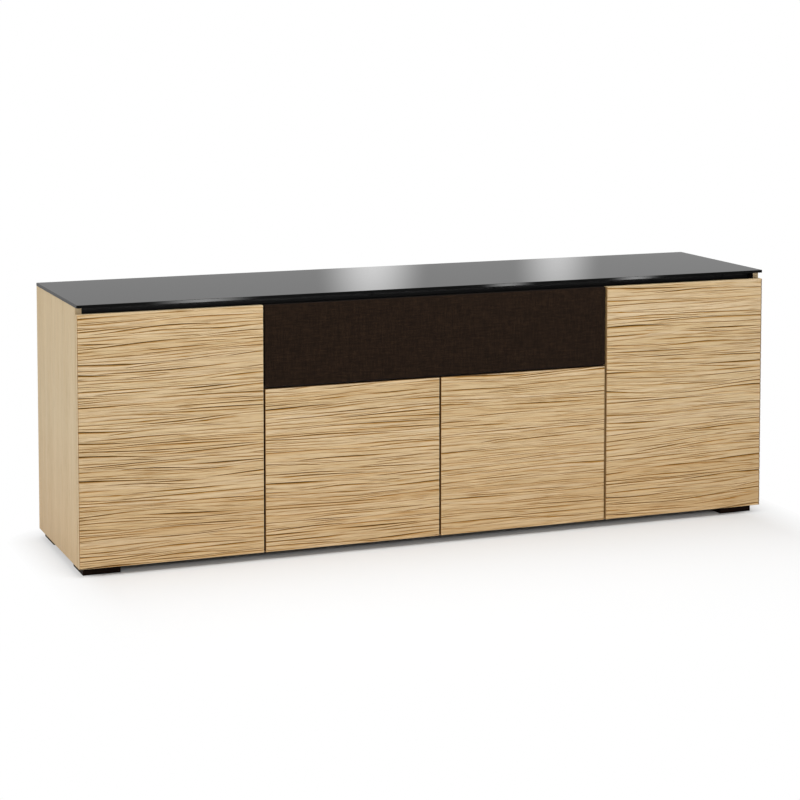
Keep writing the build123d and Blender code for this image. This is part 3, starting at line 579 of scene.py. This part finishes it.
def grow_rim(mesh, rim, low, high, out, back):
    """A new rim beyond an open one: out away from the door's middle, back along Y."""
    middle_x, middle_z = (low.x + high.x) / 2, (low.z + high.z) / 2
    half_x = max(abs(v.co.x - middle_x) for edge in rim for v in edge.verts)
    half_z = max(abs(v.co.z - middle_z) for edge in rim for v in edge.verts)
    made = bmesh.ops.extrude_edge_only(mesh, edges=rim)["geom"]
    for vertex in (item for item in made if isinstance(item, bmesh.types.BMVert)):
        place = vertex.co
        if abs(abs(place.x - middle_x) - half_x) < SAME_LINE:
            place.x += out * math.copysign(1, place.x - middle_x)
        if abs(abs(place.z - middle_z) - half_z) < SAME_LINE:
            place.z += out * math.copysign(1, place.z - middle_z)
        place.y += back
    return open_edges(item for item in made if isinstance(item, bmesh.types.BMEdge))


def bore_rim(mesh, centre, back_y, floor_y):
    """A blind bore behind the door; returns the edges of its mouth."""
    def ring(y):
        return [mesh.verts.new((centre[0] + CUP_BORE * math.cos(turn), y,
                                centre[1] + CUP_BORE * math.sin(turn)))
                for turn in (2 * math.pi * n / BORE_SIDES for n in range(BORE_SIDES))]

    mouth, floor = ring(back_y), ring(floor_y)
    steps = [(n, (n + 1) % BORE_SIDES) for n in range(BORE_SIDES)]
    for n, after in steps:
        mesh.faces.new((mouth[n], floor[n], floor[after], mouth[after]))
    mesh.faces.new(floor)
    return [mesh.edges.get((mouth[n], mouth[after])) for n, after in steps]


def door_mesh(name, rng):
    """A carved door: front, rounded arrises, edges, and a back with its two cup bores."""
    low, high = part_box(name)
    mesh = relief_mesh(rng, low, high, DOORS[name], SIDE_SHADES.get(name, NO_SHADES))
    rim = open_edges(mesh.edges)
    arcs = [math.radians(turn) for turn in EDGE_TURNS]
    steps = [(EDGE_ROUND * (math.sin(b) - math.sin(a)),
              EDGE_ROUND * (math.cos(a) - math.cos(b))) for a, b in zip(arcs, arcs[1:])]
    for out, back in steps:
        rim = grow_rim(mesh, rim, low, high, out, back)
    rim = grow_rim(mesh, rim, low, high, 0, 0)
    for vertex in {v for edge in rim for v in edge.verts}:
        vertex.co.y = high.y - EDGE_ROUND
    for back, out in reversed(steps):
        rim = grow_rim(mesh, rim, low, high, -out, back)
    cup_low, cup_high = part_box(name + "_hinge_cups")
    cup_x = (cup_low.x + cup_high.x) / 2
    edges = list(rim)
    for level in (cup_low.z + CUP_FLANGE_HALF, cup_high.z - CUP_FLANGE_HALF):
        edges += bore_rim(mesh, (cup_x, level), high.y, cup_low.y)
    bmesh.ops.triangle_fill(mesh, edges=edges, use_beauty=True)
    bmesh.ops.recalc_face_normals(mesh, faces=mesh.faces)
    for face in mesh.faces:
        face.material_index = finish_number(face, low, high)
    return mesh


def inside_by(x, z, low, high):
    """How far a point lies inside the left, right, top and bottom of a box."""
    return (x - low.x, high.x - x, high.z - z, z - low.z)


def finish_number(face, low, high):
    """Material slot of a door's face: the front, one of its four arrises, the back and
    the edges round all the fronts together, or the edges that face a gap."""
    x, y, z = face.calc_center_median()
    margins = inside_by(x, z, low, high)
    nearest = min(margins)
    if nearest < SAME_LINE:
        outer = min(inside_by(x, z, FRONTS_LOW, FRONTS_HIGH)) < OUTER_REACH
        return OAK_EDGE if outer else GAP_EDGE
    if y > FRONT_Y + FRONT_DEPTH:
        return OAK_EDGE
    return FRONT if nearest > EDGE_ROUND else FIRST_ARRIS + margins.index(nearest)


def object_from(name, mesh):
    """An object from a bmesh, which is freed."""
    data = bpy.data.meshes.new(name)
    mesh.to_mesh(data)
    mesh.free()
    made = bpy.data.objects.new(name, data)
    bpy.context.scene.collection.objects.link(made)
    return made


def smooth_piece(name, mesh, sharp):
    """A smooth-shaded object with edges over sharp degrees kept crisp."""
    piece = object_from(name, mesh)
    piece.data.polygons.foreach_set("use_smooth", [True] * len(piece.data.polygons))
    piece.data.set_sharp_from_angle(angle=math.radians(sharp))
    return piece


def carved_doors(relief):
    """The four doors; relief is the finish of their carved fronts."""
    edge = oak_veneer("oak_edge", OAK_BARE)
    # painted shade on the stained and the dark arrises
    arrises = {"bare": edge,
               "stained": oak_veneer("shaded_oak_arris", srgb(172, 140, 98)),
               "dark": oak_veneer("deep_shaded_arris", EDGE_SHADE)}
    # painted shade in the gaps, and painted light on the right door's gap edge
    shaded_gap = gap_edge("gap_edge", srgb(160, 130, 92), srgb(66, 48, 30))
    lit_gap = gap_edge("lit_gap_edge", srgb(215, 192, 158), srgb(245, 226, 190))
    for number, name in enumerate(DOORS):
        mesh = door_mesh(name, np.random.default_rng(SEED + number))
        piece = smooth_piece(name + "_carved", mesh, sharp=35)
        gap = lit_gap if name == "door_right" else shaded_gap
        tones = [arrises[tone] for tone in ARRIS_TONES[name]]
        for finish in (relief, *tones, edge, gap):
            piece.data.materials.append(finish)
        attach(piece, name)
        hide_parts(name)


# ---- speaker cloth ------------------------------------------------------------------
CLOTH_THICK = 0.7 * MM
CLOTH_CORNER = 3.0 * MM                 # corner radius of the frame, cloth included
CLOTH_CORNER_MIN = 0.2 * MM
CORNER_TURNS = range(0, 91, 15)         # degrees round a corner
CLOTH_EDGE = 2.0 * MM                   # rounding from the face to the sides
CLOTH_EDGE_TURNS = (0, 22.5, 45, 67.5, 90)
CLOTH_TURN = 0.8 * MM                   # rounding from the sides to the hem
CLOTH_TURN_TURNS = (0, 30, 60, 90)
CLOTH_HEM = 8.0 * MM
CLOTH_SKIN = 0.12 * MM                  # the cloth lies this far inside its CAD solid


def cloth_path(side_end, skin):
    """(inset, depth) round the cloth's section, from the face's rim to the end of its
    hem, at a distance skin inside its outer surface."""
    path = []
    for turn in CLOTH_EDGE_TURNS:
        bend, reach = math.radians(turn), CLOTH_EDGE - skin
        path.append((CLOTH_EDGE - reach * math.sin(bend),
                     CLOTH_EDGE - reach * math.cos(bend)))
    for turn in CLOTH_TURN_TURNS:
        bend, reach = math.radians(turn), CLOTH_TURN - skin
        path.append((CLOTH_TURN - reach * math.cos(bend),
                     side_end - CLOTH_TURN + reach * math.sin(bend)))
    return path + [(CLOTH_HEM, side_end - skin)]


def cloth_ring(mesh, low, high, inset, y):
    """A rounded rectangle of vertices, inset from the outline of a box."""
    radius = max(CLOTH_CORNER - inset, CLOTH_CORNER_MIN)
    ring = []
    for side_x, side_z, start in ((1, 1, 0), (-1, 1, 90), (-1, -1, 180), (1, -1, 270)):
        centre_x = (high.x - inset - radius) if side_x > 0 else (low.x + inset + radius)
        centre_z = (high.z - inset - radius) if side_z > 0 else (low.z + inset + radius)
        for turn in CORNER_TURNS:
            bend = math.radians(start + turn)
            ring.append(mesh.verts.new((centre_x + radius * math.cos(bend), y,
                                        centre_z + radius * math.sin(bend))))
    return ring


def stretched_cloth():
    """The cloth over the front of its frame, round its sides and turned in behind it."""
    low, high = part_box("grille_cloth")
    mesh = bmesh.new()
    side_end = high.y - low.y + CLOTH_THICK
    path = cloth_path(side_end, 0) + cloth_path(side_end, CLOTH_THICK)[::-1]
    rings = [cloth_ring(mesh, low, high, CLOTH_SKIN + inset, low.y + CLOTH_SKIN + depth)
             for inset, depth in path]
    for ring, after in zip(rings, rings[1:]):
        for n in range(len(ring)):
            m = (n + 1) % len(ring)
            mesh.faces.new((ring[n], ring[m], after[m], after[n]))
    mesh.faces.new(rings[0][::-1])
    mesh.faces.new(rings[-1])
    bmesh.ops.recalc_face_normals(mesh, faces=mesh.faces)
    cloth = smooth_piece("speaker_cloth", mesh, sharp=50)
    cloth.data.materials.append(speaker_cloth())
    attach(cloth, "speaker_panel")
    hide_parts("grille_cloth")


# ---- finishes of the CAD nodes ------------------------------------------------------
def finish_for_slot(relief):
    """The finish of each material slot; relief is the one of the carved fronts."""
    return {
        "smoked_glass": smoked_glass(),
        "clear_plastic": clear_plastic(),
        "black_aluminium": black_aluminium(),
        "oak_veneer": side_panel(),
        "oak_relief": relief,
        "dark_board": dark_board("dark_board", ESPRESSO, "X"),
        "back_board": dark_board("back_board", srgb(52, 44, 38), "Z"),
        "espresso_wood": espresso_wood(),
        "beech": beech(),
        "zinc": plated("zinc", (0.60, 0.60, 0.58, 1.0), 0.34),
        "black_zinc": plated("black_zinc", (0.012, 0.012, 0.012, 1.0), 0.5),
        "nickel": plated("nickel", (0.66, 0.64, 0.60, 1.0), 0.24),
        "glide_plastic": moulded("glide_plastic", srgb(58, 58, 58), 0.5),
        "speaker_cloth": moulded("cloth_solid", srgb(40, 30, 22), 0.8),
        "frame_board": dark_board("frame_board", srgb(36, 31, 28), "X"),
        "black_plastic": moulded("black_plastic", srgb(38, 38, 38), 0.42),
        "rubber_cup": moulded("rubber_cup", srgb(46, 46, 46), 0.7),
    }


def dress_cad_nodes(relief):
    finishes = finish_for_slot(relief)
    for part in frame["record"]["subparts"]:
        node = frame["nodes"][part["node"]]
        node.data.materials.clear()
        node.data.materials.append(finishes[part["material_slot"]])


# ---- stage --------------------------------------------------------------------------
FLOOR_SIZE = 60
FLOOR_TONE = 0.68
FOOTPRINT = (0.985, 0.185)              # half width and depth of the fully shaded floor
FLOOR_FADE = 1.25                       # reach of the floor's shading in front of that
SIDE_FADE = 7.0                         # how much faster it ends at the sides and behind
FADE_CURVE = 0.65                       # power of the fade along its reach
WORLD_LEVEL = 0.32                      # light of the world on matte surfaces
GLOSSY_LEVEL = 0.592                    # level of the background in reflections
CARD_SIZE = 2.0                         # so a card's scale is half its size
LAMPS = {                               # place, target, size in metres, power in watts
    "key": ((0.2, -2.4, 3.3), (0.2, -0.2, 0.3), (3.4, 1.2), 105),
    "front_fill": ((0.8, -5.0, 1.3), (0.5, 0, 0.4), (3.0, 1.4), 42),
    "overhead": ((-0.6, 0.3, 3.6), (-0.4, 0.2, 0), (4.0, 2.0), 70),
    "side_fill": ((-4.2, -0.6, 1.8), (-1.0, 0, 0.3), (2.0, 1.8), 56)}
GLOW_CARDS = {                          # centre, half width, half height, strength
    "glow_left": ((1.782, 5.0, 1.30), 0.345, 0.6, 1.74),
    "glow_right": ((2.88, 5.0, 1.30), 0.29, 0.6, 1.48),
    "glint_left": ((0.10, -3.0, 0.35), 0.24, 0.20, 50.0),
    "glint_middle": ((1.45, -3.0, 0.35), 0.13, 0.20, 44.0),
    "glint_right": ((2.06, -3.0, 0.35), 0.13, 0.20, 50.0)}
CAMERA_PLACE = (-2.3867, -6.0133, 1.5724)
CAMERA_DOWN, CAMERA_YAW = 4.254, -21.449        # degrees below level, and from +Y
CAMERA_SENSOR, CAMERA_LENS = 36.0, 98.92        # in millimetres
CAMERA_SHIFT = -0.30
CAMERA_CLIP = (0.1, 100)


def plain_plane(name, size, centre, turn=(0, 0, 0)):
    mesh = bmesh.new()
    bmesh.ops.create_grid(mesh, x_segments=1, y_segments=1, size=size / 2)
    plane = object_from(name, mesh)
    plane.location = centre
    plane.rotation_euler = turn
    return plane


def background_rays(nodes):
    """1 for camera and transmission rays, and the background's level for glossy rays."""
    rays = nodes.add("ShaderNodeLightPath").outputs
    share = nodes.calc("MULTIPLY", rays["Is Glossy Ray"], GLOSSY_LEVEL)
    for kind in ("Is Camera Ray", "Is Transmission Ray"):
        share = nodes.calc("MAXIMUM", share, rays[kind])
    return share


def studio_floor():
    """A pale matte floor that runs out into plain white away from the cabinet."""
    floor = plain_plane("studio_floor", FLOOR_SIZE, (0, 0, 0))
    material = new_material("studio_floor")
    nodes = Nodes(material.node_tree)
    calc = nodes.calc

    def beyond(value, limit, weight):
        return calc("MULTIPLY", calc("MAXIMUM", calc("SUBTRACT", value, limit), 0), weight)

    place = nodes.add("ShaderNodeTexCoord").outputs["Object"]
    place = nodes.add("ShaderNodeSeparateXYZ", {"Vector": place}).outputs
    half_width, half_depth = FOOTPRINT
    across = beyond(calc("ABSOLUTE", place["X"]), half_width, SIDE_FADE)
    front = beyond(calc("MULTIPLY", place["Y"], -1), half_depth, 1)
    behind = beyond(place["Y"], half_depth, SIDE_FADE)
    along = calc("MAXIMUM", front, behind)
    away = calc("SQRT", calc("ADD", calc("POWER", across, 2), calc("POWER", along, 2)))
    fade = calc("POWER", calc("MINIMUM", calc("DIVIDE", away, FLOOR_FADE), 1), FADE_CURVE)
    seen = calc("MULTIPLY", fade, background_rays(nodes))
    matte = nodes.add("ShaderNodeBsdfDiffuse", {"Color": grey(FLOOR_TONE)})
    white = nodes.add("ShaderNodeEmission", {"Color": grey(1.0)})
    nodes.show("Material", nodes.choose(seen, matte, white))
    floor.data.materials.append(material)


def studio_world():
    """White behind the cabinet and soft grey studio light all round."""
    world = bpy.data.worlds.new("studio")
    bpy.context.scene.world = world
    world.use_nodes = True
    nodes = Nodes(world.node_tree)

    def background(level):
        return nodes.add("ShaderNodeBackground", {"Color": grey(1.0), "Strength": level})

    rays = nodes.add("ShaderNodeLightPath").outputs
    shader = background(WORLD_LEVEL)
    for kind, level in (("Is Glossy Ray", GLOSSY_LEVEL), ("Is Transmission Ray", 1.0),
                        ("Is Camera Ray", 1.0)):
        shader = nodes.choose(rays[kind], shader, background(level))
    nodes.show("World", shader)


def glow_card(name, centre, half_width, half_height, strength):
    """A soft upright glow away from the cabinet, which only glossy surfaces show."""
    card = plain_plane(name, CARD_SIZE, centre, (math.radians(90), 0, 0))
    card.scale = (half_width, half_height, 1)
    for kind in ("camera", "diffuse", "transmission", "volume_scatter", "shadow"):
        setattr(card, "visible_" + kind, False)
    material = new_material(name)
    nodes = Nodes(material.node_tree)
    place = nodes.add("ShaderNodeTexCoord").outputs["Object"]
    ball = nodes.add("ShaderNodeTexGradient", {"Vector": place}, gradient_type="SPHERICAL")
    soft = nodes.add("ShaderNodeMapRange", {"Value": ball.outputs["Fac"]},
                     interpolation_type="SMOOTHSTEP")
    clear = nodes.add("ShaderNodeBsdfTransparent")
    glow = nodes.add("ShaderNodeEmission", {"Color": grey(1.0), "Strength": strength})
    nodes.show("Material", nodes.choose(soft.outputs[0], clear, glow))
    card.data.materials.append(material)


def softbox(name, place, target, size, power):
    """A rectangular lamp that the camera doesn't see."""
    data = bpy.data.lights.new(name, "AREA")
    data.shape = "RECTANGLE"
    data.size, data.size_y = size
    data.energy = power
    lamp = bpy.data.objects.new(name, data)
    lamp.location = place
    aim = Vector(target) - Vector(place)
    lamp.rotation_euler = aim.to_track_quat("-Z", "Y").to_euler()
    lamp.visible_camera = False
    bpy.context.scene.collection.objects.link(lamp)


def camera():
    data = bpy.data.cameras.new("camera")
    data.sensor_width = CAMERA_SENSOR
    data.lens = CAMERA_LENS
    data.shift_y = CAMERA_SHIFT
    data.clip_start, data.clip_end = CAMERA_CLIP
    cam = bpy.data.objects.new("camera", data)
    cam.location = CAMERA_PLACE
    cam.rotation_euler = (math.radians(90 - CAMERA_DOWN), 0, math.radians(CAMERA_YAW))
    bpy.context.scene.collection.objects.link(cam)
    bpy.context.scene.camera = cam


carved_finish = oak_relief()
dress_cad_nodes(carved_finish)
carved_doors(carved_finish)
stretched_cloth()
studio_floor()
studio_world()
for lamp_name, settings in LAMPS.items():
    softbox(lamp_name, *settings)
for card_name, settings in GLOW_CARDS.items():
    glow_card(card_name, *settings)
camera()
bpy.context.scene.view_settings.view_transform = "Standard"
